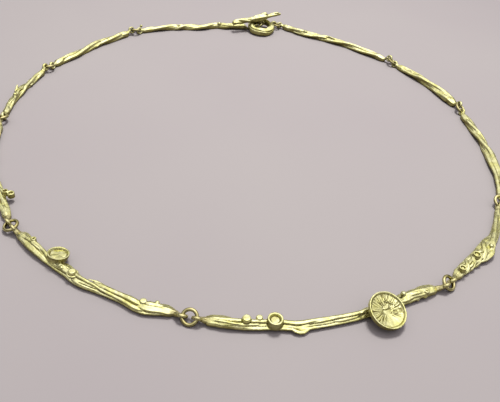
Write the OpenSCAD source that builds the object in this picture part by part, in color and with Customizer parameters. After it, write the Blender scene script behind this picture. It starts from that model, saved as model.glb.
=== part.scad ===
// Gold necklace: ten cast bars with the look of twigs, joined by wire jump rings
// and closed by a toggle. It lies flat in a loop.
// Millimetres, +Z up. The origin is the middle of the loop on the surface below it.
// The clasp is at the back (+Y) and the bar with the medallion at the front (-Y).
// Bearings are degrees anticlockwise from +X, seen from above.

/* [Loop] */
// Diameter of the loop, through the middle of the bars
loop_d = 145.5; // [140:0.5:160]
// Scale of the bars' width and height
bar_scale = 1; // [0.9:0.05:1.1]
// Length of bar from one section to the next
section_pitch = 1.25; // [1.1:0.05:2]
// Points round a bar's section
section_sides = 14; // [10:2:16]

/* [Jump rings] */
// Wire of the jump rings
ring_wire = 0.82; // [0.7:0.02:0.84]
// Mean diameter of a jump ring
ring_d = 3.15; // [3:0.05:3.6]
// Wire of the two small rings at the clasp
link_wire = 0.72; // [0.6:0.02:0.74]
// Wire of the eyes that are soldered to the bars
eye_wire = 0.6; // [0.5:0.02:0.62]
// Mean diameter of an eye
eye_d = 1.7; // [1.68:0.01:1.8]
// Length of the neck between an eye and the body of its bar
neck_l = 1.1; // [0.8:0.1:1.4]
// Thickness of the neck
neck_d = 1.1; // [0.9:0.1:1.3]

/* [Ornaments] */
// Rim diameter of the dish cup
cup_d = 4.8; // [4.2:0.1:5.2]
// Height of the dish cup
cup_h = 1.9; // [1.4:0.1:2]
// Outer diameter of the bezel
bezel_d = 3.3; // [2.8:0.1:3.5]
// Diameter of the medallion
medal_d = 9.1; // [8:0.1:9.5]
// Lean of the medallion's face, outwards from the loop
medal_lean = 24; // [18:1:32]
// Turn of the medallion's lean, anticlockwise from straight outwards
medal_swing = 15; // [0:1:30]
// Ruffles round the medallion's dish
medal_ribs = 14; // [8:1:18]

/* [Toggle] */
// Outer diameter of the toggle ring
toggle_d = 10.2; // [10:0.1:10.4]
// Thickness of the toggle ring's lower strand
toggle_tube = 2.1; // [2:0.05:2.15]
// Length of the crossbar
crossbar_l = 19.6; // [18:0.2:20]
// Thickness of the crossbar's arms
crossbar_d = 1.6; // [1.4:0.1:1.7]
// Thickness of the crossbar's middle
knob_d = 3; // [2.6:0.1:3.1]

/* [Hidden] */

gold = [0.87, 0.78, 0.38];
wire_gold = [0.83, 0.74, 0.48];

up = [0, 0, 1];
loop_r = loop_d / 2;
wire_fn = 36;
ring_fn = 72;
ball_fn = 32;
rib_fn = 16;

// How far a neck starts from the middle of its eye, and how suddenly the body widens
neck_start = eye_d / 2 - 0.1;
neck_step = 0.3;
// Wire that leads from the first bar to its eye under the toggle ring
shank_d = 0.62;
// How far below its eye's hole the shank starts, as a part of a neck's distance
shank_drop = 1.15;
// How far a bar's rounded underside is sunk into the flat that it lies on
sole = 0.08;
// Gap between the surface and the lowest wire
lift = 0.03;

// Joints between the bars, one row each, anticlockwise from the clasp.
// offset moves the joint outwards from the loop, lean raises the ring's inner edge and
// pitch raises the edge on the side of the next bar.
J_BEARING = 0;
J_OFFSET = 1;
J_LEAN = 2;
J_PITCH = 3;
JOINTS = [
    [129.9, -0.7, 25, 15],
    [161.9, -1.8, 20, 15],
    [188.1, -1.6, 15, 20],
    [225.4, 1.2, 15, 8],
    [264.3, 1.2, 38, 5],
    [311.2, 1.8, 35, -10],
    [340.6, 0.2, 20, 20],
    [379.0, -1.2, 25, 18],
    [407.2, -1.5, 25, 18]
];

// Middles of the eyes at the clasp: the first bar's, the crossbar's, the toggle ring's
// and the last bar's
first_eye = [-2.5, 70.05, 1.2];
crossbar_eye = [-0.6, 70.75, 2.75];
toggle_eye = [4.1, 72.7, 2.0];
last_eye = [6.45, 73.8, 1.35];

// Toggle ring: the middle of its lower strand, how far its far side and its left side are
// raised, and where the upper strand lies on the lower one
toggle_centre = [-0.7, 69.6, 1.55];
toggle_tilt = [6, 3, 0];
upper_tube = 1.9;
upper_inset = 0.35;
upper_rise = 0.95;

// Crossbar: its left end, the direction that it points in, and where its knob starts and ends
crossbar_left = [-11.3, 66.5, 4.25];
crossbar_way = [17.9, 7.6, 1.1];
knob_from = 8.8;
knob_to = 14.4;
knob_slope = 1.2;

// Sections of each bar, one row each. along runs from 0 to 1 over the bar's body, offset
// is outwards from the line between the bar's ends, and width and height are the section's.
S_ALONG = 0;
S_OFFSET = 1;
S_WIDTH = 2;
S_HEIGHT = 3;

// Bars: how many strands each has, how deep the grooves between them are as a part of
// the section's radius, how far they twist in degrees, the seed of the bark, the sections
B_STRANDS = 0;
B_GROOVE = 1;
B_TWIST = 2;
B_SEED = 3;
B_SECTIONS = 4;
BARS = [
    [2, 0.16, 60, 11, [
        [0.00, 0.0, 0.6, 0.6], [0.06, 0.0, 0.6, 0.6], [0.09, -0.2, 2.5, 2.3], [0.18, -0.5, 2.6, 2.4],
        [0.26, -0.8, 2.5, 2.3], [0.33, -0.5, 2.1, 2.1], [0.45, -1.6, 2.7, 2.2], [0.53, -1.7, 2.6, 2.2],
        [0.62, -1.4, 2.0, 2.1], [0.78, -0.6, 2.1, 2.1], [0.90, -0.1, 2.0, 2.1], [1.00, 0.0, 1.7, 1.8]]],
    [2, 0.18, 90, 12, [
        [0.00, -0.1, 2.0, 1.9], [0.06, -0.3, 2.4, 2.2], [0.20, -0.8, 2.5, 2.1], [0.27, -0.9, 2.5, 2.1],
        [0.36, -0.6, 2.2, 2.0], [0.47, -0.7, 2.3, 2.1], [0.60, -1.1, 2.3, 2.0], [0.74, -1.1, 2.5, 2.1],
        [0.85, -0.6, 2.3, 2.2], [0.93, -0.2, 2.2, 2.1], [1.00, -0.1, 1.9, 1.8]]],
    [3, 0.16, 80, 13, [
        [0.00, 0.0, 1.9, 1.9], [0.08, -0.1, 2.1, 1.9], [0.30, -0.1, 2.1, 1.9], [0.45, 0.3, 2.7, 2.1],
        [0.65, 0.2, 2.3, 2.1], [0.90, 0.1, 2.2, 1.9], [1.00, 0.1, 1.8, 1.8]]],
    [2, 0.16, 70, 14, [
        [0.00, 0.1, 1.9, 1.8], [0.08, 0.3, 2.4, 2.1], [0.30, 0.1, 2.5, 2.2], [0.55, -0.4, 2.3, 2.1],
        [0.75, -1.1, 2.6, 2.2], [0.92, -0.9, 2.6, 2.1], [1.00, -0.6, 2.0, 1.8]]],
    [2, 0.24, 30, 15, [
        [0.00, -0.4, 2.1, 1.8], [0.04, -0.7, 2.6, 2.1], [0.15, -0.7, 2.9, 2.4], [0.30, -0.5, 2.5, 2.1],
        [0.40, -0.7, 2.9, 2.4], [0.48, -0.2, 2.9, 2.3], [0.60, -0.6, 2.6, 2.2], [0.72, -0.6, 2.5, 2.1],
        [0.85, -0.1, 3.5, 2.2], [0.95, -0.7, 2.8, 2.0], [1.00, -0.7, 1.8, 1.6]]],
    [2, 0.24, 20, 16, [
        [0.00, -0.4, 2.2, 1.9], [0.04, -0.6, 2.7, 2.2], [0.15, -0.7, 2.9, 2.3], [0.28, -0.9, 2.8, 2.2],
        [0.355, -0.5, 3.2, 2.1], [0.42, -0.8, 2.7, 2.2], [0.55, -1.1, 2.6, 2.1], [0.72, -1.5, 2.6, 2.1],
        [0.82, -1.5, 2.5, 2.0], [0.89, -1.2, 2.6, 2.2], [0.945, -1.1, 2.8, 2.3], [0.98, -1.0, 2.3, 1.9],
        [1.00, -0.8, 1.6, 1.5]]],
    [3, 0.26, 260, 17, [
        [0.00, -0.3, 1.7, 1.6], [0.06, -0.3, 2.4, 1.9], [0.20, 0.1, 3.0, 2.3], [0.36, 0.7, 3.5, 2.5],
        [0.50, 0.9, 3.8, 2.5], [0.57, 0.9, 3.0, 2.3], [0.66, 0.8, 2.6, 2.2], [0.86, 0.3, 2.2, 2.0],
        [1.00, 0.1, 1.7, 1.6]]],
    [2, 0.20, 40, 18, [
        [0.00, -0.1, 1.8, 1.7], [0.07, -0.3, 2.2, 2.0], [0.22, -0.4, 2.5, 2.2], [0.38, -0.8, 3.0, 2.3],
        [0.50, -0.8, 2.8, 2.2], [0.60, -1.0, 2.6, 2.2], [0.78, -1.0, 2.8, 2.3], [0.90, -1.0, 3.0, 2.3],
        [1.00, -0.6, 2.1, 1.9]]],
    [3, 0.18, 60, 19, [
        [0.00, -0.2, 2.1, 1.9], [0.08, -0.4, 2.9, 2.4], [0.25, -0.3, 2.9, 2.5], [0.45, -0.3, 2.6, 2.4],
        [0.62, -0.3, 2.8, 2.6], [0.72, -0.3, 2.7, 2.3], [0.92, -0.1, 2.4, 2.1], [1.00, 0.0, 1.9, 1.8]]],
    [2, 0.18, 70, 20, [
        [0.00, -0.3, 1.8, 1.7], [0.06, -0.7, 2.4, 2.2], [0.25, -1.5, 2.4, 2.2], [0.40, -1.3, 2.5, 2.3],
        [0.50, -1.8, 2.3, 2.2], [0.60, -1.9, 2.3, 2.3], [0.74, -2.5, 2.4, 2.2], [0.82, -2.2, 2.6, 2.3],
        [0.95, -0.8, 2.4, 2.2], [1.00, 0.0, 2.0, 2.1]]]
];

// Solid ornaments on the bars, one row each: the bar, the kind, the bearing, the offset
// outwards from the loop, the height of the middle and the diameter
O_BAR = 0;
O_KIND = 1;
O_BEARING = 2;
O_OFFSET = 3;
O_HEIGHT = 4;
O_SIZE = 5;
ORNAMENTS = [
    [1, "ball", 103.7, -2.8, 1.9, 1.3],
    [1, "ball", 127.8, 0.0, 2.4, 1.1],
    [3, "spur", 175.7, -0.45, 1.5, 0.8],
    [3, "ball", 178.2, -1.6, 1.9, 1.2],
    [4, "bezel", 217.7, -2.7, 2.0, 1.7],
    [4, "bezel", 216.7, -1.7, 2.2, 1.5],
    [5, "bezel", 231.8, -0.1, 1.9, 1.1],
    [5, "cup", 238.0, -0.7, 2.15, cup_d],
    [5, "ball", 240.6, 1.3, 2.0, 0.9],
    [5, "ball", 242.8, 0.9, 2.3, 1.6],
    [5, "collar", 242.8, 0.9, 1.9, 2.2],
    [5, "ball", 256.3, 0.0, 1.7, 1.5],
    [5, "ball", 258.5, -0.5, 1.7, 0.9],
    [6, "ball", 273.3, 0.6, 2.2, 2.0],
    [6, "ball", 275.4, 0.0, 2.0, 1.5],
    [6, "bezel", 277.9, 0.7, 2.2, bezel_d],
    [6, "medallion", 296.2, 3.0, 3.0, medal_d],
    [6, "ball", 301.0, 0.1, 3.0, 1.3],
    [6, "bezel", 305.8, 1.2, 1.6, 1.1],
    [7, "bezel", 315.4, 1.4, 2.3, 1.4],
    [7, "bezel", 320.5, 1.3, 2.4, 1.6],
    [7, "ball", 325.2, 2.4, 2.1, 1.1],
    [10, "ball", 76.4, -1.6, 1.9, 1.5]
];

// Pegs that tie the ornaments to the bars: the thickest, how far one starts from the
// middle of its ornament, and how far above the middle of its bar it ends
peg_d = 2.2;
peg_start = 0.5;
peg_rise = 0.3;
// Tilt of the cup, and the wire of the collar
cup_tilt = 12;
collar_wire = 0.5;
// Spur: its length outside and inside its middle, and its fall and turn from straight up
spur_l = 1.9;
spur_root = 0.7;
spur_turn = [0, 60, -85];
// Bark: the height of its two kinds of knots as a part of a section's radius, how many of
// them go round, and how far they turn along the bar in degrees
knot = 0.04;
knot_count = 2;
knot_turn = 2300;
flake = 0.03;
flake_count = 5;
flake_turn = 7100;
seed_turn = 131;

function unit(v) = v / norm(v);
function mix(a, b, t) = a + (b - a) * t;
function ease(t) = let (c = min(1, max(0, t))) c * c * (3 - 2 * c);
function polar(bearing, r, z) = [r * cos(bearing), r * sin(bearing), z];
function bearing_of(p) = atan2(p.y, p.x);

// Directions at joint j: towards the next bar, inwards and up along the ring's slope, and
// from one eye to the other
function joint_along(j) = let (b = JOINTS[j][J_BEARING]) [-sin(b), cos(b), 0];
function joint_across(j) =
    let (b = JOINTS[j][J_BEARING], lean = JOINTS[j][J_LEAN])
    [-cos(b) * cos(lean), -sin(b) * cos(lean), sin(lean)];
function joint_span(j) =
    let (along = joint_along(j), pitch = JOINTS[j][J_PITCH])
    along * cos(pitch) + cross(along, joint_across(j)) * sin(pitch);

// Height of a jump ring's middle, as low as the ring and its eyes can lie on the surface
function ring_height(span, across) =
    let (normal = cross(span, across))
    let (ring_low = ring_d / 2 * sqrt(1 - normal.z * normal.z) + ring_wire / 2)
    let (eye_low = ring_d / 2 * abs(span.z) + (eye_d / 2) * sqrt(1 - across.z * across.z) + eye_wire / 2)
    lift + max(ring_low, eye_low);
function joint_centre(j) =
    polar(JOINTS[j][J_BEARING], loop_r + JOINTS[j][J_OFFSET], ring_height(joint_span(j), joint_across(j)));

// Ring between two eyes at a and b: from one to the other, and level across
function link_span(a, b) = unit(b - a);
function link_across(a, b) = unit(cross(up, b - a));

// The eyes at the start and the end of bar i: the middle, the axis of the hole and the
// way that the neck leaves
last = len(BARS) - 1;
function start_eye(i) = i == 0 ? first_eye : joint_centre(i - 1) + joint_span(i - 1) * ring_d / 2;
function start_axis(i) = i == 0 ? link_across(first_eye, crossbar_eye) : joint_across(i - 1);
function start_way(i) = i == 0 ? -up * shank_drop : joint_along(i - 1);
function end_eye(i) = i == last ? last_eye : joint_centre(i) - joint_span(i) * ring_d / 2;
function end_axis(i) = i == last ? link_across(toggle_eye, last_eye) : joint_across(i);
function end_way(i) = i == last ? unit([1, -0.2, 0]) : -joint_along(i);
function bar_start(i) = start_eye(i) + start_way(i) * neck_start;
function bar_end(i) = end_eye(i) + end_way(i) * neck_start;
function bar_run(i) = norm(bar_end(i) - bar_start(i));
function bar_turn(i) =
    let (turn = bearing_of(bar_end(i)) - bearing_of(bar_start(i)))
    turn < 0 ? turn + 360 : turn;

// A column of a table of sections at t, on a smooth curve through its rows
function row_at(rows, t) = max([for (k = [0:len(rows) - 2]) if (k == 0 || rows[k][S_ALONG] <= t) k]);
function slope(rows, k, column) =
    let (a = max(0, k - 1), b = min(len(rows) - 1, k + 1))
    (rows[b][column] - rows[a][column]) / (rows[b][S_ALONG] - rows[a][S_ALONG]);
function section_value(rows, t, column) =
    let (k = row_at(rows, t), span = rows[k + 1][S_ALONG] - rows[k][S_ALONG])
    let (s = (t - rows[k][S_ALONG]) / span)
    let (m0 = slope(rows, k, column) * span / 2, m1 = slope(rows, k + 1, column) * span / 2)
    let (to = s * s * (3 - 2 * s))
    mix(rows[k][column], rows[k + 1][column], to) + s * (1 - s) * (m0 * (1 - s) - m1 * s);

// Places of the sections along a bar of a length, close together where the necks end
function stations(run) =
    let (steps = round((run - 2 * neck_l) / section_pitch))
    concat(
        [0, neck_l - neck_step],
        [for (k = [0:steps]) mix(neck_l, run - neck_l, k / steps)],
        [run - neck_l + neck_step, run]
    );
function body_part(i, s) = min(1, max(0, (s - neck_l) / (bar_run(i) - 2 * neck_l)));
function out_of_necks(i, s) = ease(min(s, bar_run(i) - s) / neck_l);

// Middle, width and height of bar i's section at a length s from its start
function bar_point(i, s) =
    let (rows = BARS[i][B_SECTIONS], a = bar_start(i), b = bar_end(i), u = s / bar_run(i))
    let (t = body_part(i, s), free = out_of_necks(i, s))
    let (r = mix(norm([a.x, a.y]), norm([b.x, b.y]), u) + section_value(rows, t, S_OFFSET) * free)
    let (rest = bar_scale * section_value(rows, t, S_HEIGHT) / 2 - sole)
    polar(bearing_of(a) + u * bar_turn(i), r, mix(mix(a.z, b.z, round(u)), rest, free));
function bar_size(i, s, column) =
    let (neck = i == 0 && s < bar_run(i) / 2 ? shank_d : neck_d)
    s < neck_l - neck_step / 2 || s > bar_run(i) - neck_l + neck_step / 2
        ? neck
        : bar_scale * section_value(BARS[i][B_SECTIONS], body_part(i, s), column);

// Radius of bar i's skin, as a part of its section's, with the grooves between the
// strands and an uneven bark
function bark(i, t, turn) =
    let (b = BARS[i])
    let (groove = b[B_GROOVE] * (1 - cos(b[B_STRANDS] * turn - b[B_TWIST] * t)) / 2)
    let (knots = knot * sin(knot_count * turn + seed_turn * b[B_SEED] + knot_turn * t))
    let (flakes = flake * sin(flake_count * turn + flake_turn * t))
    1 - groove + knots + flakes;

function bar_section(i, s) =
    let (p = bar_point(i, s), step = section_pitch / 3)
    let (ahead = bar_point(i, min(bar_run(i), s + step)) - bar_point(i, max(0, s - step)))
    let (way = unit([ahead.x, ahead.y, 0]), out = [way.y, -way.x, 0])
    let (w = bar_size(i, s, S_WIDTH) / 2, h = bar_size(i, s, S_HEIGHT) / 2)
    [for (k = [0:section_sides - 1])
        let (turn = 360 * k / section_sides)
        let (r = mix(1, bark(i, body_part(i, s), turn), out_of_necks(i, s)))
        let (q = p + out * (w * r * cos(turn)) + up * (h * r * sin(turn)))
        [q.x, q.y, max(0, q.z)]];

// Length along bar i at a bearing
function length_at(i, bearing) =
    let (from_start = (bearing - bearing_of(bar_start(i)) + 360) % 360)
    bar_run(i) * from_start / bar_turn(i);

// One closed skin over a list of sections that all have the same number of points
module skin(sections) {
    n = len(sections[0]);
    end = len(sections) - 1;
    points = [for (section = sections) for (p = section) p];
    sides = [
        for (k = [0:end - 1]) for (j = [0:n - 1])
            let (a = k * n + j, b = k * n + (j + 1) % n)
            each [[a, b, b + n], [a, b + n, a + n]]
    ];
    caps = [[for (j = [0:n - 1]) n - 1 - j], [for (j = [0:n - 1]) end * n + j]];
    polyhedron(points, concat(sides, caps), convexity = 6);
}

// Places its children with X along a, Y along b and the origin at p
module in_axes(p, a, b) {
    c = cross(a, b);
    multmatrix([
        [a.x, b.x, c.x, p.x],
        [a.y, b.y, c.y, p.y],
        [a.z, b.z, c.z, p.z],
        [0, 0, 0, 1]
    ])
        children();
}

module wire_ring(mean_d, wire) {
    rotate_extrude($fn = ring_fn)
        translate([mean_d / 2, 0])
            circle(d = wire, $fn = wire_fn);
}

// Wire eye with its middle at p and its hole along axis
module eye(p, axis) {
    level = unit(cross(up, axis));
    in_axes(p, level, cross(axis, level))
        wire_ring(eye_d, eye_wire);
}

// Round peg from a to b
module peg(a, b, d) {
    way = unit(b - a);
    side = unit(cross(abs(way.z) > 0.9 ? [1, 0, 0] : up, way));
    in_axes(a, side, cross(way, side))
        cylinder(d = d, h = norm(b - a), $fn = ball_fn);
}

// Shallow open dish with a rim
module dish_cup(d) {
    r = d / 2;
    rim = 0.35;
    lip = 0.5;
    flare = 0.1;
    foot_r = r * 0.56;
    floor_r = r * 0.48;
    top = cup_h / 2;
    floor_z = flare - top / 2;
    rotate_extrude($fn = ring_fn)
        polygon([
            [0, -top], [foot_r, -top], [r - flare, top - lip], [r, top], [r - rim, top],
            [floor_r, floor_z], [0, floor_z - flare]
        ]);
}

// Short tube with a floor, open at the top
module bezel(d) {
    foot = 0.9;
    h = foot + d / 3;
    recess = d * 0.3;
    hole_d = d * 0.64;
    difference() {
        cylinder(d = d, h = h, center = true, $fn = ring_fn);
        translate([0, 0, h / 2 - recess])
            cylinder(d = hole_d, h = recess + 1, $fn = ring_fn);
    }
}

// Dished disc with a raised rim, a boss and ruffles that run out from the boss
module medallion(d) {
    r = d / 2;
    rim = 0.4;
    back = 0.9;
    lip = 0.5;
    bend = 0.1;
    dish = 0.25;
    boss_r = r * 0.14;
    rib_d = 0.5;
    rib_fall = 87;
    rotate_extrude($fn = ring_fn)
        polygon([
            [0, -back], [r / 2, bend - back], [r - bend, bend / 2 - dish], [r, lip - bend], [r - rim, lip],
            [r - rim - bend, bend], [r / 2, -dish], [boss_r, -dish], [boss_r / 2, dish / 2], [0, dish]
        ]);
    for (k = [0:medal_ribs - 1])
        rotate([0, 0, 360 * k / medal_ribs])
            translate([boss_r / 2, 0, -dish])
                rotate([0, rib_fall, 0])
                    cylinder(d = rib_d, h = r - rim - boss_r / 2, $fn = rib_fn);
}

// One ornament of the table, with a peg that ties it to the middle of its bar
module ornament(row) {
    i = row[O_BAR] - 1;
    bearing = row[O_BEARING];
    size = row[O_SIZE];
    p = polar(bearing, loop_r + row[O_OFFSET], row[O_HEIGHT]);
    heart = bar_point(i, length_at(i, bearing)) + up * peg_rise;
    translate(p)
        rotate([0, 0, bearing]) {
            if (row[O_KIND] == "ball")
                sphere(d = size, $fn = ball_fn);
            if (row[O_KIND] == "bezel")
                bezel(size);
            if (row[O_KIND] == "collar")
                wire_ring(size, collar_wire);
            if (row[O_KIND] == "cup")
                rotate([0, -cup_tilt, 0])
                    dish_cup(size);
            if (row[O_KIND] == "medallion")
                rotate([0, 0, medal_swing])
                    rotate([0, medal_lean, 0])
                        medallion(size);
            if (row[O_KIND] == "spur")
                rotate(spur_turn)
                    translate([0, 0, -spur_root])
                        cylinder(d = size, h = spur_root + spur_l, $fn = ball_fn);
        }
    if (norm(heart - p) > size / 4)
        peg(p + unit(heart - p) * min(peg_start, norm(heart - p) / 2), heart, min(peg_d, size / 2));
}

module bar(number) {
    i = number - 1;
    color(gold) {
        skin([for (s = stations(bar_run(i))) bar_section(i, s)]);
        eye(start_eye(i), start_axis(i));
        eye(end_eye(i), end_axis(i));
        for (row = ORNAMENTS)
            if (row[O_BAR] == number)
                ornament(row);
    }
}

module jump_ring(number) {
    j = number - 1;
    color(wire_gold)
        in_axes(joint_centre(j), joint_span(j), joint_across(j))
            wire_ring(ring_d, ring_wire);
}

// Small ring that joins the eyes whose middles are a and b
module clasp_ring(a, b) {
    color(wire_gold)
        in_axes((a + b) / 2, link_span(a, b), link_across(a, b))
            wire_ring(norm(b - a), link_wire);
}

// Cast ring of two strands, one on the other, with its eye
module toggle_ring() {
    color(gold) {
        translate(toggle_centre)
            rotate(toggle_tilt) {
                wire_ring(toggle_d - toggle_tube, toggle_tube);
                translate([0, 0, upper_rise])
                    wire_ring(toggle_d - toggle_tube - 2 * upper_inset, upper_tube);
            }
        eye(toggle_eye, link_across(toggle_eye, last_eye));
    }
}

// Crossbar with a thick knob, under which its eye is soldered
module toggle_bar() {
    way = unit(crossbar_way);
    across = unit(cross(up, way));
    arm_r = crossbar_d / 2;
    knob_r = knob_d / 2;
    tip = 0.3;
    color(gold) {
        in_axes(crossbar_left, across, cross(way, across))
            rotate_extrude($fn = ring_fn)
                polygon([
                    [0, 0], [arm_r - tip, 0], [arm_r, tip], [arm_r, knob_from],
                    [knob_r, knob_from + knob_slope], [knob_r, knob_to - knob_slope], [arm_r, knob_to],
                    [arm_r, crossbar_l - tip], [arm_r - tip, crossbar_l], [0, crossbar_l]
                ]);
        eye(crossbar_eye, link_across(first_eye, crossbar_eye));
    }
}

bar(1);  // bar_1
bar(2);  // bar_2
bar(3);  // bar_3
bar(4);  // bar_4
bar(5);  // bar_5
bar(6);  // bar_6
bar(7);  // bar_7
bar(8);  // bar_8
bar(9);  // bar_9
bar(10);  // bar_10
jump_ring(1);  // jump_ring_1
jump_ring(2);  // jump_ring_2
jump_ring(3);  // jump_ring_3
jump_ring(4);  // jump_ring_4
jump_ring(5);  // jump_ring_5
jump_ring(6);  // jump_ring_6
jump_ring(7);  // jump_ring_7
jump_ring(8);  // jump_ring_8
jump_ring(9);  // jump_ring_9
clasp_ring(first_eye, crossbar_eye);  // clasp_ring_1
clasp_ring(toggle_eye, last_eye);  // clasp_ring_2
toggle_ring();
toggle_bar();
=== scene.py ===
"""Looks of a gold necklace of cast twig bars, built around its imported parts.

Sizes are in millimetres unless a name says otherwise, in the frame of the parts: +Z is up,
the clasp is at +Y and the origin is the middle of the loop on the surface that it lies on.
Bearings are degrees anticlockwise from +X, seen from above.
"""

import logging
import math
import random
from dataclasses import dataclass
from enum import Enum
from typing import NamedTuple, Sequence

import bpy
import numpy as np
from mathutils import Matrix, Vector


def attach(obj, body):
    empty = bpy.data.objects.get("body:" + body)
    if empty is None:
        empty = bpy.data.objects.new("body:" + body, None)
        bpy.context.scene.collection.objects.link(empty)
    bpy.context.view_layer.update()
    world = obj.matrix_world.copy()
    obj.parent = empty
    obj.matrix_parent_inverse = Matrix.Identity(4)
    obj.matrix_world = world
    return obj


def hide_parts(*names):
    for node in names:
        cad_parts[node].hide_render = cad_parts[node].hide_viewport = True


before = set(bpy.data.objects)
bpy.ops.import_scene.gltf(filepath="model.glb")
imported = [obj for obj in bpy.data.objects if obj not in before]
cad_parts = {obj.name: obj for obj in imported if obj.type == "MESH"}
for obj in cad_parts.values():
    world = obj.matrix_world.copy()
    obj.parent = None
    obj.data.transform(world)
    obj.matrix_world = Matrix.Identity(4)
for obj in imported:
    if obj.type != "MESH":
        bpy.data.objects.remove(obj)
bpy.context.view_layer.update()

MM = 0.001
BODY = "root"
LOOP_R = 72.75
UP = Vector((0.0, 0.0, 1.0))
LEVEL = (0.0, 0.0, 0.0)
LOG = logging.getLogger("necklace")

Colour = tuple[float, float, float]
Piece = bpy.types.Object
Socket = bpy.types.NodeSocket


class Slot(Enum):
    """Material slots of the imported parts."""

    CAST = "cast_gold"
    WIRE = "wire_gold"


class Kind(Enum):
    """Ornaments that sit on a bar."""

    BALL = "ball"
    COLLAR = "collar"
    BEZEL = "bezel"
    CUP = "cup"
    MEDALLION = "medallion"
    SPUR = "spur"


# Hand tools


def deselect_all() -> None:
    """Leaves object mode with nothing selected."""
    if bpy.context.object and bpy.context.object.mode != "OBJECT":
        bpy.ops.object.mode_set(mode="OBJECT")
    bpy.ops.object.select_all(action="DESELECT")


def pick(*pieces: Piece) -> None:
    """Selects these objects alone and makes the first one active.

    Args:
        pieces: The objects to select.
    """
    deselect_all()
    for piece in pieces:
        piece.select_set(True)
    bpy.context.view_layer.objects.active = pieces[0]


def facing(axis: Vector) -> tuple[float, ...]:
    """Euler angles that turn a primitive's Z to an axis."""
    return tuple(axis.to_track_quat("Z", "Y").to_euler())


def angles(turn: Matrix) -> tuple[float, ...]:
    """Euler angles of a turn."""
    return tuple(turn.to_euler())


def leaning(bearing: float, angle: float) -> Matrix:
    """Turn that tips a level piece towards a bearing, by an angle in degrees."""
    return Matrix.Rotation(math.radians(bearing), 3, "Z") @ Matrix.Rotation(math.radians(angle), 3, "Y")


def torus(radii: tuple[float, float], sides: tuple[int, int], middle: Vector, turn: Sequence[float] = LEVEL) -> Piece:
    """Adds a torus.

    Args:
        radii: Radius of its line and of its wire.
        sides: Sides round its line and round its wire.
        middle: Its middle.
        turn: Its Euler angles.

    Returns:
        The torus.
    """
    deselect_all()
    bpy.ops.mesh.primitive_torus_add(
        major_radius=radii[0] * MM,
        minor_radius=radii[1] * MM,
        major_segments=sides[0],
        minor_segments=sides[1],
        location=middle * MM,
        rotation=turn,
    )
    return bpy.context.object


def cone(
    radii: tuple[float, float], height: float, sides: int, middle: Vector, turn: Sequence[float] = LEVEL
) -> Piece:
    """Adds a truncated cone, or a cylinder where both radii are the same.

    Args:
        radii: Radius of its foot and of its top.
        height: Its height.
        sides: Its number of sides.
        middle: Its middle.
        turn: Its Euler angles.

    Returns:
        The cone.
    """
    deselect_all()
    bpy.ops.mesh.primitive_cone_add(
        vertices=sides,
        radius1=radii[0] * MM,
        radius2=radii[1] * MM,
        depth=height * MM,
        location=middle * MM,
        rotation=turn,
    )
    return bpy.context.object


def hollow(piece: Piece, rim: float, steps: Sequence[tuple[float, float]], turn: Matrix = Matrix.Identity(3)) -> None:
    """Sinks the top of a piece inside a rim.

    Args:
        piece: The active object, whose own Z is its axis.
        rim: The rim's width.
        steps: How far each step sinks, and the share of its width that it keeps.
        turn: The object's turn from upright.
    """
    bpy.ops.object.mode_set(mode="EDIT")
    bpy.ops.mesh.select_mode(type="FACE")
    bpy.ops.mesh.select_all(action="DESELECT")
    bpy.ops.object.mode_set(mode="OBJECT")
    faces = piece.data.polygons
    slack = 1e-7
    top = max(face.center.z for face in faces)
    for face in faces:
        face.select = face.center.z > top - slack
    bpy.ops.object.mode_set(mode="EDIT")
    bpy.ops.mesh.inset(thickness=rim * MM)
    for fall, share in steps:
        bpy.ops.mesh.extrude_region_move(TRANSFORM_OT_translate={"value": turn @ Vector((0, 0, -fall * MM))})
        bpy.ops.transform.resize(value=(share, share, share))
    bpy.ops.object.mode_set(mode="OBJECT")


def twin(piece: Piece, middle: Vector, turn: Matrix) -> Piece:
    """Copies a piece, with a mesh of its own.

    Args:
        piece: The object to copy.
        middle: Where the copy's origin is put.
        turn: The copy's turn and stretch.

    Returns:
        The copy.
    """
    copy = piece.copy()
    copy.data = piece.data.copy()
    bpy.context.collection.objects.link(copy)
    copy.matrix_world = Matrix.Translation(middle * MM) @ turn.to_4x4()
    return copy


def merge(name: str, parts: Sequence[Piece]) -> Piece:
    """Joins parts into one object whose place is in its mesh.

    Args:
        name: The name of the result.
        parts: The objects to join.

    Returns:
        The joined object.
    """
    pick(*parts)
    if len(parts) > 1:
        bpy.ops.object.join()
    piece = bpy.context.object
    piece.name = name
    piece.data.name = name
    bpy.ops.object.transform_apply(location=True, rotation=True, scale=True)
    return piece


def apply_modifier(piece: Piece, kind: str, **settings: object) -> None:
    """Adds a modifier and applies it.

    Args:
        piece: The object to change.
        kind: Blender's type of modifier.
        settings: Values for the modifier's properties.
    """
    modifier = piece.modifiers.new(kind.lower(), kind)
    for key, value in settings.items():
        setattr(modifier, key, value)
    pick(piece)
    bpy.ops.object.modifier_apply(modifier=modifier.name)


# The way that the bars take round the loop


class End(NamedTuple):
    """End of a bar: its eye's middle, the axis of the eye's hole and where the neck leaves it."""

    eye: Vector
    axis: Vector
    neck: Vector


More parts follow.
